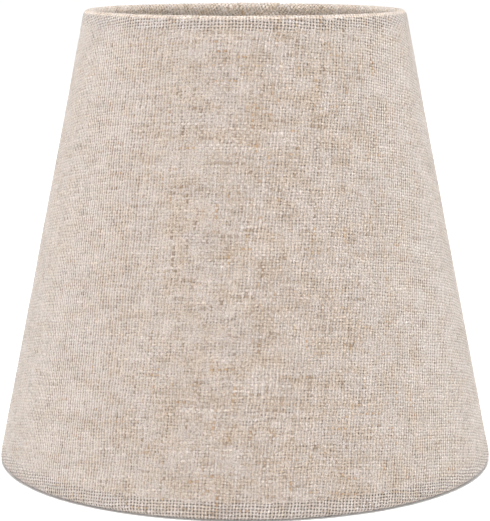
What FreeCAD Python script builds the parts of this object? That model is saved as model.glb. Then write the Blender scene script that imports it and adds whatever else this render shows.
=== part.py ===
import FreeCAD, Part

import math
import os

# A small tapered linen lamp shade on a tilting fitter, in millimetres.
# The frame: +Z up, the origin on the surface that the bottom rim stands on, at the shade's axis.
# The fitter tilts about an axis along X, so its two arms reach it from +X (right) and -X (left).

# The shade's body
HEIGHT = 127.0                # over the folds of both rims
TOP_DIAMETER = 90.0           # over the cloth at the top rim
BOTTOM_DIAMETER = 140.0       # over the cloth at the bottom rim
LINEN = 0.5                   # thickness of the cloth
PANEL = 0.3                   # thickness of the backing film
GLUE = 0.05                   # glue line between cloth and film
RING_WIRE = 2.0               # diameter of the wire of both rings
HEM_DEPTH = 10.0              # how far the turned hems reach in from the rims
HEM_LEAN = 30.0               # degrees that the hem wraps past half a turn before it reaches the film
REST_FLAT = 0.1               # how far the bottom fold is pressed flat where it stands
PANEL_TOP_GAP = 3.8           # from the top rim's edge to the film's edge
PANEL_BOTTOM_GAP = 4.6        # from the bottom rim's edge to the film's edge

# The film's butt joint and the strip over it, at the back of the shade
SEAM_ANGLE = 82.0             # degrees from +X
SEAM_GAP = 0.3
STRIP_WIDTH = 12.0
STRIP = 0.15                  # thickness of the strip
STRIP_CLEARANCE = 1.0         # from the strip's ends to the hems

# The fitter's place
PIVOT_DROP = 30.0             # from the top rim down to the tilt axis
TILT_LIMIT = 30.0             # degrees each way, where the stops meet the arms

# The arms
ARM_WIRE = 2.2                # diameter
ARM_FLAT = 1.1                # thickness of the flattened end
ARM_NECK = 3.4                # width of the flattened end above the eye
ARM_EYE = 8.0                 # diameter of the eye
NECK_HEIGHT = 10.5            # from the tilt axis to the top of the neck
NECK_BLEND = 5.0              # length over which the wire is flattened
ARM_BEND = 9.0                # radius of the bend below the top ring
WELD_ANGLE = 25.0             # degrees inward from straight below the ring's wire, where the arm lies on it
WELD_SINK = 0.12              # how far the weld sinks the arm into the ring
WELD_BEAD = 1.35              # radius of the bead
NOTCH = 4.2                   # width of the notch in the hem at each arm
NOTCH_START = 0.4             # how far above the ring's centre the notch begins

# The pressed tilt ring
HOLE_DIAMETER = 42.0          # passes the skirt of a large lampholder
TILT_OUTER = 54.0             # diameter over the lip
SHEET = 1.0                   # thickness of the pressed steel
LIP_HEIGHT = 3.0              # over the sheet's underside
RING_DROP = 7.5               # from the tilt axis down to the sheet's underside
EAR_WIDTH = 13.6
EAR_TOP = 6.4                 # above the tilt axis
EAR_CORNER = 2.4
LIP_BEND = 1.3                # outer radius of the pressed bend
EDGE_ROUND = 0.3
STOP_NEAR = 6.2               # the stops' nearest distance from the tilt axis
STOP_LENGTH = 2.0
STOP_REACH = 2.6              # how far the stops stand out of the ears
STOP_GAP = 0.3                # left between stop and arm at the limit

# The pivots
RIVET = 3.0                   # shank diameter
RIVET_RUNNING = 0.05          # radial clearance in the ear
RIVET_HEAD = 6.0
RIVET_HEAD_HEIGHT = 1.5
RIVET_TAIL = 5.0
RIVET_TAIL_HEIGHT = 0.8
RIVET_PLAY = 0.1              # between the ear and the tail
WASHER_OUTER = 7.4
WASHER = 0.45                 # thickness
WASHER_PLAY = 0.05            # on each side of the washer

# The plastic reducer
BORE_DIAMETER = 29.0          # passes the skirt of a small lampholder
BORE_LENGTH = 3.0
FLANGE_DIAMETER = 48.0
FLANGE = 1.6                  # thickness
SKIRT_CLEARANCE = 0.3         # radial, in the tilt ring's hole
SKIRT_DEPTH = 4.4             # from the flange's underside to the floor's underside
SKIRT_WALL = 1.5
FLOOR = 1.5                   # thickness
COLLAR_WALL = 1.6
SEAT_PLAY = 0.05              # between flange and tilt ring
GUSSETS = 6
GUSSET = 1.0                  # thickness

# Worked out from the above
FOLD = RING_WIRE / 2 + LINEN                       # outer radius of the folds
TOP_RING = (TOP_DIAMETER / 2 - FOLD, HEIGHT - FOLD)
BOTTOM_RING = (BOTTOM_DIAMETER / 2 - FOLD, FOLD - REST_FLAT)
PIVOT_Z = HEIGHT - PIVOT_DROP
EAR_FACE = TILT_OUTER / 2                          # outer face of the ears
EYE_FACE = EAR_FACE + WASHER + 2 * WASHER_PLAY     # inner face of the arms' eyes
ARM_X = EYE_FACE + ARM_FLAT / 2

AXIS = FreeCAD.Vector(0, 0, 1)
ORIGIN = FreeCAD.Vector(0, 0, 0)


# The section plane: x is the radius and z the height

def vector(r, z):
    return FreeCAD.Vector(r, 0, z)


def wall_direction():
    """Unit vector up the wall, from the bottom ring to the top ring."""
    return (vector(*TOP_RING) - vector(*BOTTOM_RING)).normalize()


def rim_point(ring, out, toward):
    """A point of the section: out of the ring's centre, square to the wall, and toward that rim's edge."""
    up = wall_direction()
    normal = vector(up.z, -up.x)
    edge = up if ring is TOP_RING else up * -1
    return vector(*ring) + normal * out + edge * toward


def line(start, end):
    return Part.LineSegment(start, end).toShape()


def polygon_face(points):
    return Part.Face(Part.makePolygon(points + [points[0]]))


def rounded_face(corners):
    """A face in the section plane from (r, z, radius) corners, with the stated corner radii."""
    edges = []
    starts = []
    ends = []
    count = len(corners)
    for index in range(count):
        here = vector(*corners[index][:2])
        radius = corners[index][2]
        before = (vector(*corners[index - 1][:2]) - here).normalize()
        after = (vector(*corners[(index + 1) % count][:2]) - here).normalize()
        half = before.getAngle(after) / 2
        cut = radius / math.tan(half)
        starts.append(here + before * cut)
        ends.append(here + after * cut)
        if radius > 0:
            bisector = (before + after).normalize()
            middle = here + bisector * (radius / math.sin(half) - radius)
            edges.append(Part.Arc(starts[index], middle, ends[index]).toShape())
    for index in range(count):
        edges.append(line(ends[index], starts[(index + 1) % count]))
    return Part.Face(Part.Wire(Part.__sortEdges__(edges)))


def turned(face, angle=360.0):
    return face.revolve(ORIGIN, AXIS, angle)


def half_turn(shape):
    """The same shape on the other side of the axis."""
    copy = shape.copy()
    copy.rotate(ORIGIN, AXIS, 180)
    return copy


# The shade's body

def hem_skin(ring, radius, lie):
    """One skin of a hem, from the wall round the ring and back onto the film at the offset lie."""
    lean = math.radians(HEM_LEAN)
    start = rim_point(ring, radius, 0)
    top = rim_point(ring, 0, radius)
    leave = rim_point(ring, -radius * math.cos(lean), -radius * math.sin(lean))
    run = (lie + radius * math.cos(lean)) / math.sin(lean)
    land = rim_point(ring, lie, -radius * math.sin(lean) - run * math.cos(lean))
    end = rim_point(ring, lie, FOLD - HEM_DEPTH)
    return [Part.Arc(start, top, leave).toShape(), line(leave, land), line(land, end)]


def film_offset():
    """How far the film's inner face lies out of the line through the rings' centres."""
    return RING_WIRE / 2 - GLUE - PANEL


def linen_cover():
    """The cloth: one skin of constant thickness, turned over both rings, with notches for the arms."""
    inner = RING_WIRE / 2
    near = film_offset() - GLUE
    edges = []
    for ring in (TOP_RING, BOTTOM_RING):
        edges += hem_skin(ring, FOLD, near - LINEN)
        edges += hem_skin(ring, inner, near)
        hem_end = FOLD - HEM_DEPTH
        edges.append(line(rim_point(ring, near - LINEN, hem_end), rim_point(ring, near, hem_end)))
    for skin in (FOLD, inner):
        edges.append(line(rim_point(TOP_RING, skin, 0), rim_point(BOTTOM_RING, skin, 0)))
    cloth = turned(Part.Face(Part.Wire(Part.__sortEdges__(edges))))
    below = Part.makeCylinder(BOTTOM_DIAMETER, FOLD, FreeCAD.Vector(0, 0, -FOLD))
    cloth = cloth.cut(below)
    right = arm_notch()
    return cloth.cut(right).cut(half_turn(right))


def arm_notch():
    """The space cut out of the top hem for an arm: inside the film only."""
    near = film_offset() - GLUE / 2
    end = FOLD - HEM_DEPTH - LINEN
    inside = -2 * FOLD
    corners = [(inside, NOTCH_START), (near, NOTCH_START), (near, end), (inside, end)]
    face = polygon_face([rim_point(TOP_RING, *corner) for corner in corners])
    face.translate(FreeCAD.Vector(0, -NOTCH / 2, 0))
    return face.extrude(FreeCAD.Vector(0, NOTCH, 0))


def film_face(outer, thickness, top_gap, bottom_gap):
    """A thin straight section along the wall, between two gaps from the rims' edges."""
    ends = ((TOP_RING, FOLD - top_gap), (BOTTOM_RING, FOLD - bottom_gap))
    corners = [rim_point(ring, outer, toward) for ring, toward in ends]
    corners += [rim_point(ring, outer - thickness, toward) for ring, toward in reversed(ends)]
    return polygon_face(corners)


def backing_panel():
    """The film that stiffens the cloth: a cone with its two edges butted at the seam."""
    face = film_face(RING_WIRE / 2 - GLUE, PANEL, PANEL_TOP_GAP, PANEL_BOTTOM_GAP)
    gap = math.degrees(SEAM_GAP / (BOTTOM_DIAMETER / 2))
    panel = turned(face, 360 - gap)
    panel.rotate(ORIGIN, AXIS, SEAM_ANGLE + gap / 2)
    return panel


def seam_strip():
    """The strip bonded inside over the film's joint, of one width from hem to hem."""
    gap = HEM_DEPTH + STRIP_CLEARANCE
    face = film_face(film_offset() - GLUE, STRIP, gap, gap)
    cone = turned(face, 90)
    cone.rotate(ORIGIN, AXIS, -45)
    slab = Part.makeBox(BOTTOM_DIAMETER, STRIP_WIDTH, HEIGHT, FreeCAD.Vector(0, -STRIP_WIDTH / 2, 0))
    strip = cone.common(slab)
    strip.rotate(ORIGIN, AXIS, SEAM_ANGLE)
    return strip


def wire_ring(ring):
    return Part.makeTorus(ring[0], RING_WIRE / 2, FreeCAD.Vector(0, 0, ring[1]), AXIS)


# The fitter

def cylinder_x(radius, start, end, z=PIVOT_Z):
    return Part.makeCylinder(radius, end - start, FreeCAD.Vector(start, 0, z), FreeCAD.Vector(1, 0, 0))


def arm_top():
    """The end of the arm's centre line, where it lies against the ring from below and inside."""
    angle = math.radians(WELD_ANGLE)
    reach = RING_WIRE / 2 + ARM_WIRE / 2 - WELD_SINK
    return vector(TOP_RING[0] - reach * math.sin(angle), TOP_RING[1] - reach * math.cos(angle))


def right_arm():
    """Bent wire from the top ring to a flattened eye on the tilt axis."""
    radius = ARM_WIRE / 2
    top = arm_top()
    neck = vector(ARM_X, PIVOT_Z + NECK_HEIGHT + NECK_BLEND)
    turn = math.atan2(top.x - ARM_X, top.z - neck.z)
    cut = ARM_BEND * math.tan(turn / 2)
    corner = neck + AXIS * cut
    slope = (top - corner).normalize()
    leave = corner + slope * cut
    centre = neck + FreeCAD.Vector(ARM_BEND, 0, 0)
    toward = ((corner - centre).normalize()) * ARM_BEND
    bend = Part.Arc(neck, centre + toward, leave).toShape()
    path = Part.Wire([bend, line(leave, top)])
    circle = Part.Wire(Part.Circle(neck, AXIS, radius).toShape())
    wire = path.makePipeShell([circle], True, True)

    low = vector(ARM_X, PIVOT_Z + NECK_HEIGHT)
    ellipse = Part.Ellipse(low + FreeCAD.Vector(0, ARM_NECK / 2, 0), low + FreeCAD.Vector(ARM_FLAT / 2, 0, 0), low)
    blend = Part.makeLoft([Part.Wire(ellipse.toShape()), circle], True, False)

    plate = Part.makeBox(ARM_FLAT, ARM_NECK, NECK_HEIGHT, FreeCAD.Vector(EYE_FACE, -ARM_NECK / 2, PIVOT_Z))
    eye = cylinder_x(ARM_EYE / 2, EYE_FACE, EYE_FACE + ARM_FLAT)
    bead = Part.makeSphere(WELD_BEAD, top)
    hole = cylinder_x(RIVET / 2, EYE_FACE - 1, EYE_FACE + ARM_FLAT + 1)
    arm = wire.fuse([blend, plate, eye, bead])
    return arm.cut(hole).cut(wire_ring(TOP_RING))


def right_rivet():
    """Domed head outside the arm's eye, shank through eye, washer and ear, and a peened tail inside."""
    head_face = EYE_FACE + ARM_FLAT
    tail_face = EAR_FACE - SHEET - RIVET_PLAY
    dome = (RIVET_HEAD ** 2 / 4 + RIVET_HEAD_HEIGHT ** 2) / (2 * RIVET_HEAD_HEIGHT)
    centre = FreeCAD.Vector(head_face + RIVET_HEAD_HEIGHT - dome, 0, PIVOT_Z)
    head = Part.makeSphere(dome, centre).common(cylinder_x(RIVET_HEAD / 2, head_face, head_face + dome))
    shank = cylinder_x(RIVET / 2, tail_face - RIVET_TAIL_HEIGHT / 2, head_face + RIVET_HEAD_HEIGHT / 2)
    tail = cylinder_x(RIVET_TAIL / 2, tail_face - RIVET_TAIL_HEIGHT, tail_face)
    tail = tail.makeFillet(RIVET_TAIL_HEIGHT / 2, [max(tail.Edges, key=lambda edge: -edge.CenterOfMass.x)])
    return head.fuse([shank, tail])


def right_washer():
    """Friction washer between the ear and the arm's eye."""
    start = EAR_FACE + WASHER_PLAY
    disc = cylinder_x(WASHER_OUTER / 2, start, start + WASHER)
    return disc.cut(cylinder_x(RIVET / 2 + 2 * RIVET_RUNNING, start - 1, start + WASHER + 1))


def stop_angle():
    """How far from the arm the stops stand at rest, in degrees, to meet its neck at the tilt limit."""
    half = SHEET / 2
    side = ARM_NECK / 2 + STOP_GAP
    clear = math.asin(side / math.hypot(STOP_NEAR, half)) + math.atan(half / STOP_NEAR)
    return TILT_LIMIT + math.degrees(clear)


def right_ear():
    """An upright plate of the tilt ring, with its two stops turned out."""
    bottom = PIVOT_Z - RING_DROP
    blank = Part.makeBox(SHEET, EAR_WIDTH, RING_DROP + EAR_TOP,
                         FreeCAD.Vector(EAR_FACE - SHEET, -EAR_WIDTH / 2, bottom))
    corners = [edge for edge in blank.Edges
               if abs(edge.BoundBox.XLength - SHEET) < EDGE_ROUND and edge.CenterOfMass.z > PIVOT_Z]
    ear = blank.makeFillet(EAR_CORNER, corners)
    for side in (-1, 1):
        stop = Part.makeBox(SHEET + STOP_REACH, SHEET, STOP_LENGTH,
                            FreeCAD.Vector(EAR_FACE - SHEET, -SHEET / 2, PIVOT_Z + STOP_NEAR))
        stop.rotate(FreeCAD.Vector(0, 0, PIVOT_Z), FreeCAD.Vector(1, 0, 0), side * stop_angle())
        ear = ear.fuse(stop)
    return ear.cut(cylinder_x(RIVET / 2 + RIVET_RUNNING, EAR_FACE - 2 * SHEET, EAR_FACE + SHEET))


def tilt_ring():
    """The pressed steel ring with its turned-up lip and its two ears."""
    bottom = PIVOT_Z - RING_DROP
    inner = HOLE_DIAMETER / 2
    outer = TILT_OUTER / 2
    face = rounded_face([
        (inner, bottom, EDGE_ROUND),
        (outer, bottom, LIP_BEND),
        (outer, bottom + LIP_HEIGHT, EDGE_ROUND),
        (outer - SHEET, bottom + LIP_HEIGHT, EDGE_ROUND),
        (outer - SHEET, bottom + SHEET, EDGE_ROUND),
        (inner, bottom + SHEET, EDGE_ROUND),
    ])
    right = right_ear()
    return turned(face).fuse([right, half_turn(right)])


def reducer_ring():
    """The plastic ring that lies in the tilt ring: flange, skirt, floor and a collar round the bore."""
    seat = PIVOT_Z - RING_DROP + SHEET + SEAT_PLAY
    floor = seat - SKIRT_DEPTH
    skirt = HOLE_DIAMETER / 2 - SKIRT_CLEARANCE
    wall = skirt - SKIRT_WALL
    bore = BORE_DIAMETER / 2
    collar = bore + COLLAR_WALL
    flange = FLANGE_DIAMETER / 2
    face = rounded_face([
        (bore, floor, EDGE_ROUND),
        (skirt, floor, 2 * EDGE_ROUND),
        (skirt, seat, 0),
        (flange, seat, EDGE_ROUND),
        (flange, seat + FLANGE, 2 * EDGE_ROUND),
        (wall, seat + FLANGE, 2 * EDGE_ROUND),
        (wall, floor + FLOOR, EDGE_ROUND),
        (collar, floor + FLOOR, EDGE_ROUND),
        (collar, floor + BORE_LENGTH, EDGE_ROUND),
        (bore, floor + BORE_LENGTH, EDGE_ROUND),
    ])
    ring = turned(face)
    for index in range(GUSSETS):
        top = floor + BORE_LENGTH - EDGE_ROUND
        gusset = Part.makeBox(wall - collar + 2 * EDGE_ROUND, GUSSET, top - floor - EDGE_ROUND,
                              FreeCAD.Vector(collar - EDGE_ROUND, -GUSSET / 2, floor + EDGE_ROUND))
        gusset.rotate(ORIGIN, AXIS, 360 / GUSSETS * (index + 0.5))
        ring = ring.fuse(gusset)
    return ring


def build():
    """Every sub-part by its node's name."""
    nodes = {
        "linen_cover": linen_cover(),
        "backing_panel": backing_panel(),
        "seam_strip": seam_strip(),
        "top_ring": wire_ring(TOP_RING),
        "bottom_ring": wire_ring(BOTTOM_RING),
        "tilt_ring": tilt_ring(),
        "reducer_ring": reducer_ring(),
    }
    for name, shape in (("arm", right_arm()), ("rivet", right_rivet()), ("washer", right_washer())):
        nodes["right_" + name] = shape
        nodes["left_" + name] = half_turn(shape)
    return nodes


os.makedirs("parts", exist_ok=True)
for node, solid in build().items():
    if not solid.isValid() or len(solid.Solids) != 1:
        raise RuntimeError(f"{node} is not one valid solid")
    solid.exportStep(f"parts/{node}.step")
    box = solid.BoundBox
    print(f"{node:14s} {solid.Volume:9.1f} mm3  "
          f"x {box.XMin:7.2f}..{box.XMax:6.2f}  y {box.YMin:7.2f}..{box.YMax:6.2f}  z {box.ZMin:7.2f}..{box.ZMax:6.2f}")
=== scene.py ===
"""Looks of the small linen lamp shade: cloth, film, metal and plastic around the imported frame."""

import math

import bpy
import numpy as np
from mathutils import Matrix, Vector, noise


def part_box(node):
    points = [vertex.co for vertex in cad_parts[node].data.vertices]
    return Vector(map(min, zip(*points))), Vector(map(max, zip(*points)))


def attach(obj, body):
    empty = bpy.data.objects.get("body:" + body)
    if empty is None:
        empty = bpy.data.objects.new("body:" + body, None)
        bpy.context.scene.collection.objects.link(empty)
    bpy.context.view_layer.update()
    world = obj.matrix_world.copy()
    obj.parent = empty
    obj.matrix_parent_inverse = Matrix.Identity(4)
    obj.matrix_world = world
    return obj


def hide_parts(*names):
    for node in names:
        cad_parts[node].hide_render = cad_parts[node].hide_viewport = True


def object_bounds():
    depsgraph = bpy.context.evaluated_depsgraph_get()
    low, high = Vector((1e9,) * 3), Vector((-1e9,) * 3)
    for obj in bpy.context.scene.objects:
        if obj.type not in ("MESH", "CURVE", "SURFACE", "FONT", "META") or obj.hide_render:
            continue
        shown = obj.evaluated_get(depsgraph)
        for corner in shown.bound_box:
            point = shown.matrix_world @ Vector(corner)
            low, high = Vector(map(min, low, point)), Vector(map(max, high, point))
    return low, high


MM = 0.001

# The cloth and film, as they are built up over the rings
LINEN = 0.5 * MM              # thickness of the cloth
FILM = 0.3 * MM               # thickness of the backing film
GLUE = 0.05 * MM              # glue line
HEM_DEPTH = 10.0 * MM         # how far the hems reach in from the rims
HEM_LEAN = math.radians(30)   # how far a hem wraps past half a turn before it reaches the film
FILM_TOP_GAP = 3.8 * MM       # from the top rim's edge to the film
FILM_BOTTOM_GAP = 4.6 * MM    # from the bottom rim's edge to the film
NOTCH = 4.2 * MM              # width of the notch in the top hem at each arm
NOTCH_RISE = 0.4 * MM         # how far above the ring's centre the notch begins

# The seams at the back. Angles go round from the front (-Y), towards +X.
SEAM_EDGE = math.radians(166.3)   # where the cloth's upper end lies
FILM_SEAM = math.radians(172.0)   # middle of the film's butt joint
FILM_SEAM_GAP = 0.3 * MM      # width of that joint
LAP = 10.0 * MM               # overlap of the cloth's two ends
LAP_EASE = 4.0 * MM           # over which the upper end comes down onto the film
PRESSED = 0.28 * MM           # thickness of each layer where the overlap turns over a ring
PRESSED_REACH = 2.0 * MM      # how far from a fold the layers are pressed; at twice this they aren't

# Unevenness: the height, length and seed of each layer of waves
CLOTH_WAVES = ((0.07 * MM, 18.0 * MM, 3.0), (0.04 * MM, 6.0 * MM, 7.0))
HEM_WAVES = ((0.4 * MM, 3.0 * MM, 13.0), (0.2 * MM, 0.8 * MM, 15.0))
HEM_WAVES_REACH = 4.0 * MM    # how far from a hem's cut end its waves die out
THREAD_RELIEF = 0.07 * MM     # height of the threads where the mesh is fine enough for them
THREAD_STEP = 0.5 * MM        # rows this far apart can't show the threads
THREAD_EASE = 0.15 * MM       # and rows closer by this show them fully

# The meshes
RING_POINTS = 60              # points of the section round each ring
FINE_STEP = 0.1 * MM          # spacing at which the section's corners are rounded
ROUNDING = 12                 # passes of rounding
FOLD_STEP = 0.3 * MM          # spacing of the cloth's rows at the folds
WALL_STEP = 2.7 * MM          # spacing of its rows on the wall
STEP_HOLD = 4.0 * MM          # how far from a fold the rows stay close
STEP_EASE = 16.0 * MM         # over which the spacing grows
CLOTH_COLUMNS = 960
LAP_COLUMNS = 36
WAVE_COLUMNS = 12             # the slow waves are worked out at every twelfth column
FILM_COLUMNS = 360
FILM_STEP = 4.0 * MM

# The weave. Lengths across it are counted in threads.
WARP = (1.125, -0.105)        # threads per millimetre along the flat cut's two axes
WEFT = (0.02, 1.28)
WEAVE_DRIFTS = ((1.6, 0.07, 1.0, (4.0, 11.0)),    # how far it drifts, the noise's scale and detail,
                (0.4, 0.55, 0.0, (21.0, 33.0)))   # and the seeds for warp and weft
THREAD_STRAY = 0.45           # how far one thread strays sideways
THREAD_HALF = (0.33, 0.47)    # half the width of the thinnest and of the thickest thread
THREAD_SHIFT = 40.0           # each thread's noise starts at its own place, up to this far along
THREAD_LANE = 5.37            # distance between neighbouring threads in that noise
THREAD_BASE = 0.34            # height of a thread's edge
THREAD_BACK = 0.42            # height of its round back above that
THREAD_OVER = 0.24            # how far it rises where it goes over, and falls where it goes under
DASH = 0.4                    # gaps along a thread's edge are open or closed in runs of 1 / DASH

# Where no film lies behind the cloth: millimetres from each ring's place on the flat cut
TOP_HOLLOW = (-0.4, 2.2)
BOTTOM_HOLLOW = (-3.2, 1.9)
RAGGED = 1.4                  # how far the film's edge seems to wander there
TURNED_EDGE = 0.3             # how far above the top hollow the painted light begins: from there the fold's top and the hem inside are painted lighter

# Colours of the linen's threads
PALE = (0.566, 0.484, 0.434, 1)
NATURAL = (0.477, 0.398, 0.345, 1)
FLAX = (0.325, 0.236, 0.162, 1)
FLECKS = ((0.42, 0.26, 0.13, 1), (0.24, 0.165, 0.105, 1))
WARP_TONE = 0.95
WEFT_TONE = 1.04

# Colours that multiply them
BLEACHED = (1.12, 1.14, 1.16, 1)         # bleached stretches
THIN_HUE = (1.02, 1.0, 0.965, 1)         # where a thread is thin
THICK_HUE = (0.98, 1.0, 1.03, 1)         # where it is thick
CREVICE = (0.275, 0.20, 0.13, 1)         # painted shade, brown, between the threads
CLUSTERED = (0.955, 0.914, 0.84, 1)      # the whole cloth, browner where that painted shade clusters
OVER_HOLLOW = (1.04, 1.06, 1.09, 1)      # threads with no film behind them
HEM_PAINTED_GLOW = (1.42, 1.42, 1.40, 1)    # painted light: the hem inside the top and the top of its fold, lighter to stand for light coming through the wall and falling on the fold
WARM_PATCH = (1.01, 1.0, 0.98, 1)
COOL_PATCH = (0.985, 0.99, 1.0, 1)
BROWNING = (1.07, 1.16)       # powers of the shade in green and blue, so that shadows turn brown

SHEEN = (1.0, 0.94, 0.9, 1)   # colour of the short nap against the light

# Noise values between which a feature comes in: most of any noise, and then the threads' features
MOST = (0.3, 0.7)
NATURAL_SPAN = (0.42, 0.62)
FLAX_SPAN = (0.61, 0.71)
BLEACHED_SPAN = (0.58, 0.66)
FLECK_SPAN = (0.60, 0.72)
FLECK_MOST = 0.7              # how strong the flecks are at most

# The film's two close tones
FILM_TONES = ((0.85, 0.82, 0.755, 1), (0.90, 0.875, 0.82, 1))

# The metals: CAD nodes, name, colour, roughness, and the scratches' closeness along X, Y and Z
METALS = (
    (("top_ring", "bottom_ring", "left_arm", "right_arm"),
     "wire_steel", (0.62, 0.62, 0.60), 0.32, (1.0, 1.0, 0.15)),
    (("tilt_ring",), "pressed_steel", (0.64, 0.64, 0.62), 0.30, (0.3, 1.0, 1.0)),
    (("left_rivet", "right_rivet"), "rivet_steel", (0.72, 0.71, 0.69), 0.26, (1.0, 0.4, 0.4)),
    (("left_washer", "right_washer"), "washer_steel", (0.50, 0.50, 0.50), 0.36, (1.0, 0.3, 1.0)),
)
MOTTLED = (0.8, 1.08)         # darkest and lightest plating, as parts of its colour

# The plastics: CAD nodes, name, two close tones, roughness, and the scale of the clouds in them
PLASTICS = (
    (("reducer_ring",), "reducer_plastic", ((0.70, 0.69, 0.655, 1), (0.76, 0.752, 0.72, 1)), 0.28, 0.12),
    (("seam_strip",), "film_strip", ((0.86, 0.835, 0.775, 1), (0.91, 0.89, 0.84, 1)), 0.24, 0.3),
)

# The studio
FLOOR_HALF = 6.0
FLOOR_PAPER = (0.92, 0.92, 0.92)
BOX_FAR = 1.3                 # distance of the softboxes from the shade
BOX_SIZE = 0.5                # their diameter
BOXES = (                     # their names, turns from the front and rises in degrees, and watts
    ("front_box", 0, 17, 9.2),
    ("left_box", -70, 14, 3.3),
    ("right_box", 70, 14, 2.45),
    ("left_rim", -134, 12, 3.6),
    ("right_rim", 134, 12, 4.2),
    ("back_box", 180, 32, 7.0),
)
SWEEP_HEIGHTS = (0.14, 0.28)  # sines of the elevations between which the white sweep dims
SWEEP_LIGHTS = (1.0, 0.12)    # its brightness below and above them
SUN_POWER = 3.1               # the soft sun overhead that whitens the floor
SUN_SPREAD = math.radians(20)

# The camera: a long lens a little above the top rim, which looks slightly down on the shade
LENS = 139.6
SENSOR = 36.0
CAMERA_PLACE = (0, -0.5676, 0.14994)
CAMERA_DOWN = 9.413           # degrees below level
CLIP_START = 0.01


# ---------------------------------------------------------------- the section through the wall

class Rim:
    """One wire ring and the local directions of the section there."""

    def __init__(self, node):
        low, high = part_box(node)
        self.wire = (high.z - low.z) / 2
        self.centre = np.array([(high.x - low.x) / 2 - self.wire, (high.z + low.z) / 2])
        self.out = None
        self.toward = None

    def point(self, out, toward):
        return self.centre + self.out * out + self.toward * toward


class Cone:
    """The cone through both rings, rolled out flat: distances from its apex to the two ends of the wall."""

    def __init__(self, top, bottom):
        wall = top.centre - bottom.centre
        slant = np.linalg.norm(wall)
        self.sine = -wall[0] / slant
        self.bottom = bottom.point(bottom.wire + LINEN / 2, 0)[0] / self.sine
        self.top = self.bottom - slant


class Section:
    """A path through the section with its outward normals and its distance from the cone's apex."""

    def __init__(self, points, places, apex_start):
        self.points = points
        self.places = places
        along = np.gradient(points, axis=0)
        along /= np.linalg.norm(along, axis=1)[:, None]
        self.normals = np.stack([-along[:, 1], along[:, 0]], axis=1)
        self.reach = apex_start + places


def make_rims():
    top = Rim("top_ring")
    bottom = Rim("bottom_ring")
    up = top.centre - bottom.centre
    up /= np.linalg.norm(up)
    for rim, sign in ((top, 1), (bottom, -1)):
        rim.out = np.array([up[1], -up[0]])
        rim.toward = up * sign
    return top, bottom


def hem_points(rim):
    """The middle of the cloth from the wall, round the ring, and back onto the film."""
    radius = rim.wire + LINEN / 2
    lie = rim.wire - FILM - 2 * GLUE - LINEN / 2 - GLUE
    turns = np.linspace(0, math.pi + HEM_LEAN, RING_POINTS)
    points = [rim.point(radius * math.cos(turn), radius * math.sin(turn)) for turn in turns]
    run = (lie + radius * math.cos(HEM_LEAN)) / math.sin(HEM_LEAN)
    landing = -radius * math.sin(HEM_LEAN) - run * math.cos(HEM_LEAN)
    points.append(rim.point(lie, landing))
    points.append(rim.point(lie, rim.wire + LINEN - HEM_DEPTH))
    return points


def distances(points):
    """How far along a polyline each of its points lies."""
    return np.concatenate([[0], np.cumsum(np.linalg.norm(np.diff(points, axis=0), axis=1))])


def resample(points, spacing):
    """Points along a polyline, spaced by spacing(place along it), with the place of each."""
    points = np.array(points)
    places = distances(points)
    stops = [0.0]
    while stops[-1] < places[-1]:
        stops.append(stops[-1] + spacing(stops[-1]))
    stops = np.array(stops) * places[-1] / stops[-1]
    return np.stack([np.interp(stops, places, points[:, axis]) for axis in (0, 1)], axis=1), stops


def soften(points, passes):
    """Rounds the corners of an evenly spaced polyline, ends kept."""
    for _ in range(passes):
        inner = (points[:-2] + 2 * points[1:-1] + points[2:]) / 4
        points = np.concatenate([points[:1], inner, points[-1:]])
    return points


# ---------------------------------------------------------------- thin sheets on the cone

def smoothstep(value):
    value = np.clip(value, 0, 1)
    return value * value * (3 - 2 * value)


def wander(x, y, scale, seed):
    """Smooth noise from -1 to 1 for arrays of metres, with features about scale long."""
    flat_x, flat_y = np.broadcast_arrays(x, y)
    pairs = zip(flat_x.ravel(), flat_y.ravel())
    values = [noise.noise(Vector((a / scale, b / scale, seed))) for a, b in pairs]
    return np.array(values).reshape(flat_x.shape)


def waves(x, y, layers):
    return sum(height * wander(x, y, length, seed) for height, length, seed in layers)


def surface_points(section, angles, lift):
    """Points and normals of a sheet: rows follow the section and columns go round the axis."""
    sine, cosine = np.sin(angles), np.cos(angles)
    radius, height = section.points[:, 0:1], section.points[:, 1:2]
    out, up = section.normals[:, 0:1], section.normals[:, 1:2]
    points = np.stack([radius * sine, -radius * cosine, height + 0 * angles], axis=-1)
    normals = np.stack([out * sine, -out * cosine, up + 0 * angles], axis=-1)
    return points + normals * lift[..., None], normals


def flat_coordinates(section, angles, cone):
    """Where each point lies on the cloth's flat cut, in metres, with its front bottom edge at the origin."""
    turn = angles * cone.sine
    reach = section.reach[:, None]
    return np.stack([reach * np.sin(turn), cone.bottom - reach * np.cos(turn)], axis=-1)


def border_walls(cells, keep, under):
    """Faces from the upper skin to the lower one, round every border of the kept cells."""
    padded = np.pad(keep, 1)
    neighbours = ((padded[:-2, 1:-1], 3, 0), (padded[2:, 1:-1], 1, 2),
                  (padded[1:-1, :-2], 0, 1), (padded[1:-1, 2:], 2, 3))
    walls = []
    for neighbour, first, second in neighbours:
        border = cells[keep & ~neighbour]
        start, end = border[:, first], border[:, second]
        walls.append(np.stack([end, start, start + under, end + under], axis=1))
    return np.concatenate(walls)


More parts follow.
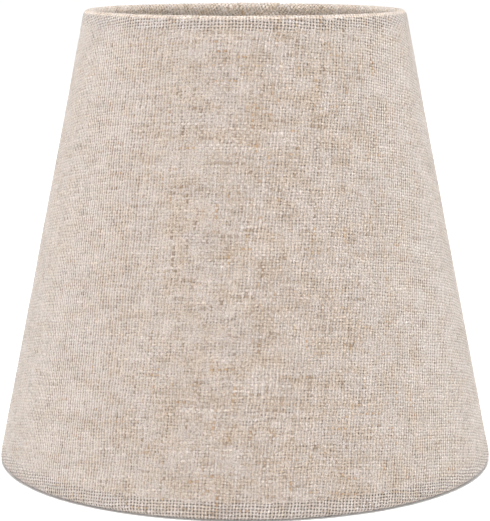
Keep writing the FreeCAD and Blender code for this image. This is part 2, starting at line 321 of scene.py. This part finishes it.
def quad_object(name, places, flat, faces, smooth):
    """An object of four-cornered faces, with the flat cut's coordinates in millimetres as its UV map."""
    mesh = bpy.data.meshes.new(name)
    mesh.vertices.add(len(places))
    mesh.vertices.foreach_set("co", places.ravel())
    mesh.loops.add(faces.size)
    mesh.loops.foreach_set("vertex_index", faces.ravel())
    mesh.polygons.add(len(faces))
    mesh.polygons.foreach_set("loop_start", np.arange(0, faces.size, 4))
    mesh.polygons.foreach_set("loop_total", np.full(len(faces), 4))
    mesh.polygons.foreach_set("use_smooth", smooth)
    layer = mesh.uv_layers.new(name="flat")
    layer.data.foreach_set("uv", (flat / MM)[faces.ravel()].ravel())
    mesh.update(calc_edges=True)
    mesh.validate()
    piece = bpy.data.objects.new(name, mesh)
    bpy.context.scene.collection.objects.link(piece)
    return piece


def sheet_object(name, points, normals, thickness, flat, keep):
    """A closed thin solid from a grid of middle points: two skins, and walls round every border."""
    rows, columns = points.shape[:2]
    half = normals * np.broadcast_to(thickness, (rows, columns))[..., None] / 2
    places = np.concatenate([(points + half).reshape(-1, 3), (points - half).reshape(-1, 3)])
    index = np.arange(rows * columns).reshape(rows, columns)
    cells = np.stack([index[:-1, :-1], index[1:, :-1], index[1:, 1:], index[:-1, 1:]], axis=-1)
    under = rows * columns
    kept = cells[keep]
    skins = np.concatenate([kept, kept[:, ::-1] + under])
    faces = np.concatenate([skins, border_walls(cells, keep, under)])
    smooth = np.arange(len(faces)) < len(skins)
    used, faces = np.unique(faces, return_inverse=True)
    both_flat = np.concatenate([flat.reshape(-1, 2)] * 2)
    return quad_object(name, places[used], both_flat[used], faces.reshape(-1, 4), smooth)


# ---------------------------------------------------------------- the cloth and the film

def cover_section(top, bottom, cone):
    """The cloth's section from hem to hem, its rows close together at the folds, and the folds' places."""
    fine, _ = resample(hem_points(top)[::-1] + hem_points(bottom), lambda place: FINE_STEP)
    fine = soften(fine, ROUNDING)
    steps = distances(fine)
    folds = (steps[np.argmax(fine[:, 1])], steps[np.argmin(fine[:, 1])])

    def spacing(place):
        from_fold = min(abs(place - fold) for fold in folds)
        return FOLD_STEP + (WALL_STEP - FOLD_STEP) * smoothstep((from_fold - STEP_HOLD) / STEP_EASE)

    points, places = resample(fine, spacing)
    wall_end = places[np.argmax(points[:, 0])]
    return Section(points, places, cone.bottom - wall_end), folds


def cover_angles(section, start):
    """Columns once round from start, then the overlap's, which are the same width in every row."""
    circle = start + 2 * math.pi * np.arange(CLOTH_COLUMNS + 1) / CLOTH_COLUMNS
    lapped = circle[-1] + LAP / section.points[:, 0:1] * (np.arange(LAP_COLUMNS) + 1) / LAP_COLUMNS
    return np.concatenate([np.repeat(circle[None], len(lapped), axis=0), lapped], axis=1)


def overlap(section, folds, angles, start):
    """The cloth's thickness, and how far its middle stands off where its first end lies on its last."""
    radius = section.points[:, 0:1]
    from_edge = (angles - start) * radius
    upper = 1 - smoothstep((from_edge - LAP) / LAP_EASE)
    under = smoothstep((from_edge - 2 * math.pi * radius + LAP_EASE) / LAP_EASE)
    from_fold = np.min([np.abs(section.places - fold) for fold in folds], axis=0)[:, None]
    pressing = smoothstep(2 - from_fold / PRESSED_REACH) * (upper + under)
    thickness = LINEN - (LINEN - PRESSED) * pressing
    return thickness, (thickness - LINEN) / 2 + (thickness + GLUE) * upper


def cloth_relief(section, flat):
    """How far the cloth's middle stands off its ideal place: slow waves, and the threads at the folds."""
    x, y = flat[..., 0], flat[..., 1]
    columns = np.arange(x.shape[1])
    known = columns[::WAVE_COLUMNS]
    slow = waves(x[:, known], y[:, known], CLOTH_WAVES)
    slow = np.stack([np.interp(columns, known, row) for row in slow])
    warp = (WARP[0] * x + WARP[1] * y) / MM
    weft = (WEFT[0] * x + WEFT[1] * y) / MM
    crossing = np.sin(math.pi * warp) * np.sin(math.pi * weft)
    step = np.gradient(section.reach)[:, None]
    return slow + THREAD_RELIEF * crossing * smoothstep((THREAD_STEP - step) / THREAD_EASE)


def hem_slide(points, places, arc):
    """Moves the hems' cut ends in and out a little, so that they don't run dead straight."""
    along = np.gradient(points, axis=0)
    along /= np.linalg.norm(along, axis=2)[..., None]
    from_end = np.minimum(places, places[-1] - places)[:, None]
    slide = waves(arc[0], 0.0, HEM_WAVES) * (1 - smoothstep(from_end / HEM_WAVES_REACH))
    return along * slide[..., None]


def cells_outside_notches(section, angles, top, top_fold):
    """Which cells of the grid are cloth: all but those in the top hem's notches at the two arms."""
    below = section.points[:, 1] < top.point(0, NOTCH_RISE)[1]
    on_hem = below & (section.places < top_fold)
    at_arm = np.abs(section.points[:, 0:1] * np.cos(angles)) < NOTCH / 2
    cut = at_arm & on_hem[:, None]
    return ~(cut[:-1, :-1] & cut[1:, :-1] & cut[:-1, 1:] & cut[1:, 1:])


def cut_measures(section, start, cone):
    """The rectangle that the flat cut comes out of, and the cut's area."""
    outer, inner = section.reach[-1], section.reach[0]
    turn = abs(start) * cone.sine
    rectangle = (2 * outer * math.sin(turn), outer - inner * math.cos(turn))
    sector = (outer ** 2 - inner ** 2) / 2 * 2 * math.pi * cone.sine
    return rectangle, sector + LAP * (outer - inner)


def linen_cover(top, bottom, cone):
    """The cloth: turned over both rings, overlapped at the seam, and notched at the arms."""
    section, folds = cover_section(top, bottom, cone)
    start = SEAM_EDGE - 2 * math.pi
    angles = cover_angles(section, start)
    thickness, lift = overlap(section, folds, angles, start)
    flat = flat_coordinates(section, angles, cone)
    points, normals = surface_points(section, angles, lift + cloth_relief(section, flat))
    points += hem_slide(points, section.places, angles * section.points[:, 0:1])
    keep = cells_outside_notches(section, angles, top, folds[0])
    piece = sheet_object("linen_shade_cover", points, normals, thickness, flat, keep)
    return piece, *cut_measures(section, start, cone)


def backing_film(top, bottom, cone):
    """The film cone inside the cloth, butted at its seam."""
    middle = top.wire - GLUE - FILM / 2
    ends = (top.point(middle, top.wire + LINEN - FILM_TOP_GAP),
            bottom.point(middle, bottom.wire + LINEN - FILM_BOTTOM_GAP))
    points, places = resample(ends, lambda place: FILM_STEP)
    section = Section(points, places, points[0][0] / cone.sine)
    gap = FILM_SEAM_GAP / points[-1][0]
    turn = 2 * math.pi - gap
    circle = FILM_SEAM - 2 * math.pi + gap / 2 + turn * np.arange(FILM_COLUMNS + 1) / FILM_COLUMNS
    angles = np.repeat(circle[None], len(points), axis=0)
    flat = flat_coordinates(section, angles, cone)
    points, normals = surface_points(section, angles, np.zeros(angles.shape))
    keep = np.ones((len(points) - 1, FILM_COLUMNS), bool)
    return sheet_object("backing_film", points, normals, FILM, flat, keep)


# ---------------------------------------------------------------- materials

class Graph:
    """One material's node tree, with short calls for the nodes used here."""

    def __init__(self, name):
        self.material = bpy.data.materials.new(name)
        self.material.use_nodes = True
        self.tree = self.material.node_tree
        self.shader = self.tree.nodes["Principled BSDF"]

    def node(self, kind, **settings):
        made = self.tree.nodes.new(kind)
        for key, value in settings.items():
            setattr(made, key, value)
        return made

    def feed(self, socket, value):
        if isinstance(value, bpy.types.NodeSocket):
            self.tree.links.new(value, socket)
        elif value is not None:
            socket.default_value = value

    def math(self, operation, first, second=None, third=None):
        made = self.node("ShaderNodeMath", operation=operation)
        for socket, value in zip(made.inputs, (first, second, third)):
            self.feed(socket, value)
        return made.outputs[0]

    def combine(self, x, y, z):
        made = self.node("ShaderNodeCombineXYZ")
        for socket, value in zip(made.inputs, (x, y, z)):
            self.feed(socket, value)
        return made.outputs[0]

    def grey(self, value):
        return self.combine(value, value, value)

    def noise(self, vector, scale=1.0, detail=0.0, roughness=0.5):
        made = self.node("ShaderNodeTexNoise")
        self.feed(made.inputs["Vector"], vector)
        made.inputs["Scale"].default_value = scale
        made.inputs["Detail"].default_value = detail
        made.inputs["Roughness"].default_value = roughness
        return made.outputs["Fac"]

    def random(self, vector):
        made = self.node("ShaderNodeTexWhiteNoise", noise_dimensions="3D")
        self.feed(made.inputs["Vector"], vector)
        return made.outputs["Value"]

    def span(self, value, low, high, out_low=0.0, out_high=1.0):
        """out_low where value is low, out_high where it is high, and in between in proportion."""
        made = self.node("ShaderNodeMapRange", clamp=True)
        for socket, given in zip(made.inputs, (value, low, high, out_low, out_high)):
            self.feed(socket, given)
        return made.outputs[0]

    def mix(self, factor, first, second, blend="MIX"):
        made = self.node("ShaderNodeMix", data_type="RGBA", blend_type=blend)
        self.feed(made.inputs[0], factor)
        self.feed(made.inputs[6], first)
        self.feed(made.inputs[7], second)
        return made.outputs[2]

    def tint(self, colour, by, factor=1.0):
        """The colour multiplied by another, as far as factor says."""
        return self.mix(factor, colour, by, "MULTIPLY")

    def bump(self, height, distance, strength):
        made = self.node("ShaderNodeBump")
        made.inputs["Strength"].default_value = strength
        made.inputs["Distance"].default_value = distance
        self.feed(made.inputs["Height"], height)
        return made.outputs[0]

    def position(self):
        """Object coordinates in millimetres."""
        scaled = self.node("ShaderNodeVectorMath", operation="SCALE")
        scaled.inputs["Scale"].default_value = 1 / MM
        self.feed(scaled.inputs[0], self.node("ShaderNodeTexCoord").outputs["Object"])
        return scaled.outputs[0]

    def flat(self):
        """x and y on the flat cut, in millimetres."""
        split = self.node("ShaderNodeSeparateXYZ")
        self.feed(split.inputs[0], self.node("ShaderNodeUVMap", uv_map="flat").outputs[0])
        return split.outputs[0], split.outputs[1]

    def finish(self, **inputs):
        for key, value in inputs.items():
            self.feed(self.shader.inputs[key.replace("_", " ")], value)
        return self.material


def dot(graph, x, y, factors):
    return graph.math("MULTIPLY_ADD", x, factors[0], graph.math("MULTIPLY", y, factors[1]))


class Yarn:
    """One family of threads: its index, the place across each thread, and its thickness and shades."""

    def __init__(self, graph, across, along, seed):
        g = graph
        self.index = g.math("FLOOR", across)
        self.own = g.random(g.combine(self.index, seed, 0.5))
        lane = g.math("MULTIPLY", self.index, THREAD_LANE)
        drift = g.math("MULTIPLY_ADD", self.own, THREAD_SHIFT, along)

        def run(pace, layer, detail=0.0, roughness=0.5):
            """Noise along each thread, with features about 1 / pace crossings long."""
            place = g.combine(lane, g.math("MULTIPLY", drift, pace), seed + layer)
            return g.noise(place, detail=detail, roughness=roughness)

        middle = g.math("SUBTRACT", g.math("SUBTRACT", across, self.index), 0.5)
        self.offset = g.math("MULTIPLY_ADD", g.math("SUBTRACT", run(0.37, 30), 0.5), THREAD_STRAY, middle)
        self.slub = run(0.16, 0, detail=2.0)
        self.shade = run(0.07, 9, detail=3.0, roughness=0.7)
        self.fleck = run(0.12, 17, detail=1.0)
        self.bleach = run(0.06, 25, detail=1.0)
        self.half = g.span(self.slub, *MOST, *THREAD_HALF)

    def profile(self, graph):
        """Height of the thread's round back, 0 at its edge, and 1 inside it or 0 outside."""
        g = graph
        ratio = g.math("DIVIDE", self.offset, self.half)
        fall = g.math("SUBTRACT", 1.0, g.math("MULTIPLY", ratio, ratio))
        return g.math("SQRT", g.math("MAXIMUM", fall, 0.0)), g.math("GREATER_THAN", fall, 0.0)


def crossing_pit(graph, across_warp, across_weft):
    """0 along the middle of every thread, and 1 halfway between two threads of both families."""
    pits = []
    for value in (across_warp, across_weft):
        wave = graph.math("COSINE", graph.math("MULTIPLY", value, 2 * math.pi))
        pits.append(graph.math("MULTIPLY_ADD", wave, 0.5, 0.5))
    return graph.math("MULTIPLY", *pits)


def dashes(graph, along, across, seed):
    """A random number for each run of two or three crossings along one thread's edge."""
    run = graph.math("ROUND", graph.math("MULTIPLY", along, DASH))
    return graph.random(graph.combine(run, graph.math("ROUND", across), seed))


class Weave:
    """Plain weave on the flat cut: both yarns, the surface's height, and which yarn is on top.

    ridge is the back of the warp alone, pit is 1 at the gaps between threads,
    and luck is a random number from 0 to 1 that says how open each gap is.
    """

    def __init__(self, graph, x, y):
        g = graph
        across_warp = dot(g, x, y, WARP)
        across_weft = dot(g, x, y, WEFT)
        for amount, scale, detail, seeds in WEAVE_DRIFTS:
            first, second = (g.noise(g.combine(x, y, seed), scale=scale, detail=detail) for seed in seeds)
            across_warp = g.math("MULTIPLY_ADD", g.math("SUBTRACT", first, 0.5), amount, across_warp)
            across_weft = g.math("MULTIPLY_ADD", g.math("SUBTRACT", second, 0.5), amount, across_weft)
        self.warp = Yarn(g, across_warp, across_weft, 1.0)
        self.weft = Yarn(g, across_weft, across_warp, 51.0)
        over_warp = g.math("SINE", g.math("MULTIPLY", g.math("ADD", across_weft, self.warp.index), math.pi))
        over_weft = g.math("SINE", g.math("MULTIPLY", g.math("ADD", across_warp, self.weft.index), math.pi))
        backs = []
        heights = []
        for yarn, over in ((self.warp, over_warp), (self.weft, g.math("MULTIPLY", over_weft, -1.0))):
            back, inside = yarn.profile(g)
            lift = g.math("MULTIPLY_ADD", back, THREAD_BACK, THREAD_BASE)
            lift = g.math("MULTIPLY_ADD", over, THREAD_OVER, lift)
            backs.append(back)
            heights.append(g.math("MULTIPLY", lift, inside))
        self.ridge = backs[0]
        self.height = g.math("MAXIMUM", *heights)
        self.weft_on_top = g.math("GREATER_THAN", heights[1], heights[0])
        self.pit = crossing_pit(g, across_warp, across_weft)
        self.luck = g.math("MAXIMUM", dashes(g, across_warp, across_weft, 3.0),
                           dashes(g, across_weft, across_warp, 8.0))


def yarn_colour(graph, yarn, tone):
    """Pale, with natural, flax and bleached stretches along each thread, and short brown flecks."""
    g = graph
    colour = g.mix(g.span(yarn.shade, *NATURAL_SPAN), PALE, NATURAL)
    colour = g.mix(g.span(yarn.shade, *FLAX_SPAN), colour, FLAX)
    colour = g.tint(colour, (tone, tone, tone, 1))
    colour = g.tint(colour, g.mix(g.span(yarn.slub, 0.35, 0.65), THIN_HUE, THICK_HUE))
    colour = g.tint(colour, BLEACHED, g.span(yarn.bleach, *BLEACHED_SPAN))
    fleck = g.mix(g.span(yarn.own, 0.4, 0.6), *FLECKS)
    return g.mix(g.span(yarn.fleck, *FLECK_SPAN, 0.0, FLECK_MOST), colour, fleck)


def hollow_cloth(graph, x, y, reach, cone):
    """1 in the bands beside the rims where no film lies behind the cloth, and 0 elsewhere."""
    g = graph
    stray = g.math("SUBTRACT", g.noise(g.combine(x, y, 5.0), scale=0.4), 0.5)
    ragged = g.math("MULTIPLY_ADD", stray, RAGGED, reach)
    top_band = g.math("MULTIPLY", g.math("GREATER_THAN", reach, cone.top / MM + TOP_HOLLOW[0]),
                      g.math("LESS_THAN", ragged, cone.top / MM + TOP_HOLLOW[1]))
    bottom_band = g.math("MULTIPLY", g.math("GREATER_THAN", ragged, cone.bottom / MM + BOTTOM_HOLLOW[0]),
                         g.math("LESS_THAN", reach, cone.bottom / MM + BOTTOM_HOLLOW[1]))
    return g.math("MAXIMUM", top_band, bottom_band)


def weave_shade(graph, cloth, fibres, hollow):
    """How bright the weave is: uneven with its fibres, with painted shade where threads lie low and in gaps,
    darkest in gaps over the hollows, which stand for the shadowed space behind the cloth.
    """
    g = graph
    holes = g.math("MULTIPLY", cloth.pit, g.span(cloth.luck, 0.78, 1.0))
    film_holes = g.math("MULTIPLY", cloth.pit, g.span(cloth.luck, 0.6, 0.1))
    # painted shade: the dark space behind the cloth, seen through the gaps over the hollows
    hollow_gap_shade = g.math("MULTIPLY", hollow, cloth.pit)
    parts = (g.span(cloth.height, 0.3, 1.0, 0.96, 1.02),   # painted shade on threads where they lie low
             g.span(fibres, *MOST, 0.58, 1.36),            # single fibres
             g.span(cloth.pit, 0.2, 0.9, 1.0, 0.94),       # painted shade in every gap between threads
             g.span(holes, 0.1, 0.8, 1.0, 0.45),           # painted shade in the few wide gaps
             g.span(film_holes, 0.1, 0.8, 1.0, 1.15),      # gaps that show the bright film
             g.span(hollow_gap_shade, 0.2, 0.7, 1.0, 0.12))    # painted shade: gaps that look into the shadowed hollow behind the cloth
    shade = 1.0
    for part in parts:
        shade = g.math("MULTIPLY", part, shade)
    return shade


def crevice_shade(graph, x, y, cloth, clusters):
    """Painted shade, brown, between the threads where they lie low, in clusters and along the darker
    threads.
    """
    g = graph
    broken = g.noise(g.combine(x, y, 9.0), scale=1.4, detail=1.0)
    darker_threads = g.math("MAXIMUM", g.span(cloth.weft.shade, 0.55, 0.66), g.span(cloth.warp.shade, 0.57, 0.68))
    low = g.math("MULTIPLY", g.span(cloth.height, 0.9, 0.4), g.span(broken, 0.42, 0.60))
    return g.math("MULTIPLY", low, g.math("MAXIMUM", clusters, darker_threads))


def linen_material(cone):
    """Natural linen, pale threads with flax ones among them, with a short soft nap."""
    g = Graph("linen")
    x, y = g.flat()
    cloth = Weave(g, x, y)
    down = g.math("SUBTRACT", cone.bottom / MM, y)
    reach = g.math("SQRT", g.math("ADD", g.math("MULTIPLY", x, x), g.math("MULTIPLY", down, down)))
    hollow = hollow_cloth(g, x, y, reach, cone)
    # where light is painted on: the top fold's crest and the hem inside
    painted_glow_mask = g.math("LESS_THAN", reach, cone.top / MM + TOP_HOLLOW[0] - TURNED_EDGE)
    fibres = g.noise(g.combine(x, y, 2.0), scale=3.4, detail=2.0, roughness=0.75)
    stretched = g.combine(g.math("MULTIPLY", x, 0.6), y, 19.0)
    clusters = g.noise(stretched, scale=0.22, detail=3.0, roughness=0.7)
    clusters = g.span(clusters, 0.40, 0.66, 0.2, 1.0)
    patches = g.noise(g.combine(x, y, 71.0), scale=0.08, detail=3.0)
    cloudy = g.noise(g.combine(x, y, 14.0), scale=0.2, detail=2.0)

    warp_colour = yarn_colour(g, cloth.warp, WARP_TONE)
    weft_colour = yarn_colour(g, cloth.weft, WEFT_TONE)
    colour = g.mix(cloth.weft_on_top, warp_colour, weft_colour)
    shade = weave_shade(g, cloth, fibres, hollow)
    browned = g.combine(shade, *(g.math("POWER", shade, power) for power in BROWNING))
    colour = g.tint(colour, browned)
    # painted shade between the threads
    colour = g.tint(colour, CREVICE, crevice_shade(g, x, y, cloth, clusters))
    colour = g.tint(colour, OVER_HOLLOW, hollow)
    colour = g.tint(colour, CLUSTERED, g.span(clusters, 0.3, 0.9))
    colour = g.tint(colour, g.grey(g.span(cloudy, *MOST, 0.96, 1.04)))
    # painted light: lighter inside the top hem and on the fold's top
    colour = g.tint(colour, HEM_PAINTED_GLOW, painted_glow_mask)
    colour = g.tint(colour, g.mix(g.span(patches, *MOST), WARM_PATCH, COOL_PATCH))

    relief = g.math("MULTIPLY_ADD", cloth.ridge, 0.5, cloth.height)
    relief = g.math("MULTIPLY_ADD", fibres, 0.25, relief)
    g.shader.inputs["Roughness"].default_value = 0.65
    g.shader.inputs["Specular IOR Level"].default_value = 0.45
    g.shader.inputs["Sheen Weight"].default_value = 0.75
    g.shader.inputs["Sheen Roughness"].default_value = 0.38
    g.shader.inputs["Sheen Tint"].default_value = SHEEN
    return g.finish(Base_Color=colour, Normal=g.bump(relief, 0.55 * MM, 1.0))


def film_material():
    """Satin off-white film, with the cloth's weave behind it painted on faintly as the shade it casts
    through the film.
    """
    g = Graph("film")
    x, y = g.flat()
    ghost = Weave(g, x, y).height
    clouds = g.noise(g.combine(x, y, 8.0), scale=0.08, detail=3.0, roughness=0.6)
    colour = g.mix(g.span(clouds, *MOST), *FILM_TONES)
    # painted shade: the weave's shadow through the film, faintly darker
    colour = g.tint(colour, g.grey(g.span(ghost, 0.1, 1.0, 1.0, 0.955)))
    stretched = g.combine(g.math("MULTIPLY", x, 0.25), y, 3.0)
    scuffs = g.noise(stretched, scale=0.9, detail=4.0, roughness=0.7)
    orange_peel = g.noise(g.combine(x, y, 6.0), scale=1.6, detail=1.0)
    normal = g.bump(g.math("MULTIPLY_ADD", ghost, 0.5, orange_peel), 0.03 * MM, 0.7)
    return g.finish(Base_Color=colour, Roughness=g.span(scuffs, *MOST, 0.34, 0.52), Normal=normal)


def zinc_material(name, base, rough, grain):
    """Plated steel: mottled plating, duller patches, and fine scratches stretched where grain is small."""
    g = Graph(name)
    place = g.position()
    mottle = g.noise(place, scale=0.5, detail=4.0, roughness=0.65)
    stretched = g.node("ShaderNodeVectorMath", operation="MULTIPLY")
    g.feed(stretched.inputs[0], place)
    stretched.inputs[1].default_value = grain
    scratches = g.noise(stretched.outputs[0], scale=2.0, detail=5.0, roughness=0.75)
    dark, light = ((*(part * value for value in base), 1) for part in MOTTLED)
    colour = g.mix(g.span(mottle, *MOST), dark, light)
    uneven = g.math("MULTIPLY_ADD", scratches, 0.6, g.math("MULTIPLY", mottle, 0.4))
    roughness = g.span(uneven, *MOST, rough - 0.08, rough + 0.14)
    normal = g.bump(scratches, 0.02 * MM, 0.6)
    return g.finish(Base_Color=colour, Metallic=1.0, Roughness=roughness, Normal=normal)


def plastic_material(name, tones, rough, flow_scale):
    """Off-white plastic with a fine-grained skin and clouds of two close tones."""
    g = Graph(name)
    place = g.position()
    skin = g.noise(place, scale=3.0, detail=3.0, roughness=0.6)
    flow = g.noise(place, scale=flow_scale, detail=2.0)
    colour = g.mix(g.span(flow, *MOST), *tones)
    roughness = g.span(skin, *MOST, rough, rough + 0.14)
    return g.finish(Base_Color=colour, Roughness=roughness, Normal=g.bump(skin, 0.015 * MM, 0.6))


def paint(nodes, material):
    """Gives CAD nodes one material in place of their own."""
    for node in nodes:
        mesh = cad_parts[node].data
        mesh.materials.clear()
        mesh.materials.append(material)


# ---------------------------------------------------------------- stage, lights and camera

def make_floor():
    mesh = bpy.data.meshes.new("floor")
    size = FLOOR_HALF
    corners = [(-size, -size, 0), (size, -size, 0), (size, size, 0), (-size, size, 0)]
    mesh.from_pydata([Vector(corner) for corner in corners], [], [(0, 1, 2, 3)])
    floor = bpy.data.objects.new("floor", mesh)
    floor.location.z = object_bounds()[0].z
    bpy.context.scene.collection.objects.link(floor)
    paper = Graph("floor_paper").finish(Base_Color=(*FLOOR_PAPER, 1), Roughness=0.9)
    mesh.materials.append(paper)


def make_sweep():
    """A white world round the stage, bright above the horizon and dim overhead."""
    world = bpy.data.worlds.new("studio")
    world.use_nodes = True
    tree = world.node_tree
    background = tree.nodes["Background"]
    background.inputs["Color"].default_value = (1, 1, 1, 1)
    split = tree.nodes.new("ShaderNodeSeparateXYZ")
    dim = tree.nodes.new("ShaderNodeMapRange")
    for socket, value in zip(dim.inputs[1:5], SWEEP_HEIGHTS + SWEEP_LIGHTS):
        socket.default_value = value
    tree.links.new(tree.nodes.new("ShaderNodeTexCoord").outputs["Generated"], split.inputs[0])
    tree.links.new(split.outputs[2], dim.inputs[0])
    tree.links.new(dim.outputs[0], background.inputs["Strength"])
    bpy.context.scene.world = world


def make_softbox(name, turn, rise, power, centre):
    """A round softbox that looks at centre from BOX_FAR away."""
    turn, rise = math.radians(turn), math.radians(rise)
    place = Vector((BOX_FAR * math.sin(turn) * math.cos(rise), -BOX_FAR * math.cos(turn) * math.cos(rise),
                    centre.z + BOX_FAR * math.sin(rise)))
    data = bpy.data.lights.new(name, "AREA")
    data.shape = "DISK"
    data.size = BOX_SIZE
    data.energy = power
    light = bpy.data.objects.new(name, data)
    light.location = place
    light.rotation_euler = (centre - place).to_track_quat("-Z", "Y").to_euler()
    bpy.context.scene.collection.objects.link(light)


def make_lights(centre):
    make_sweep()
    for box in BOXES:
        make_softbox(*box, centre)
    data = bpy.data.lights.new("overhead", "SUN")
    data.energy = SUN_POWER
    data.angle = SUN_SPREAD
    bpy.context.scene.collection.objects.link(bpy.data.objects.new("overhead", data))


def make_camera():
    data = bpy.data.cameras.new("camera")
    data.sensor_width = SENSOR
    data.lens = LENS
    data.clip_start = CLIP_START
    camera = bpy.data.objects.new("camera", data)
    camera.location = CAMERA_PLACE
    camera.rotation_euler = (math.radians(90 - CAMERA_DOWN), 0, 0)
    bpy.context.scene.collection.objects.link(camera)
    bpy.context.scene.camera = camera


# ---------------------------------------------------------------- the scene

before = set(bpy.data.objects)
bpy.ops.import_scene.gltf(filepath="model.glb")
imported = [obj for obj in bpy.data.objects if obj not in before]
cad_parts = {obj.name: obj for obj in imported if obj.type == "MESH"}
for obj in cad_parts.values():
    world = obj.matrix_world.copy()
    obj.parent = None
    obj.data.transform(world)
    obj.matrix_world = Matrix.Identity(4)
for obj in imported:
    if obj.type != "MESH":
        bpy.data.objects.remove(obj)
cad_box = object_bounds()
make_camera()
bpy.context.scene.view_settings.view_transform = "Standard"

rims = make_rims()
cone = Cone(*rims)
cover, cut_size, cut_area = linen_cover(*rims, cone)
film = backing_film(*rims, cone)
cover.data.materials.append(linen_material(cone))
film.data.materials.append(film_material())
for piece, node, slot in ((cover, "linen_cover", "linen"), (film, "backing_panel", "film")):
    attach(piece, "shade")
    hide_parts(node)

for nodes, *look in METALS:
    paint(nodes, zinc_material(*look))
for nodes, *look in PLASTICS:
    paint(nodes, plastic_material(*look))

make_floor()
make_lights(Vector((0, 0, (cad_box[0].z + cad_box[1].z) / 2)))
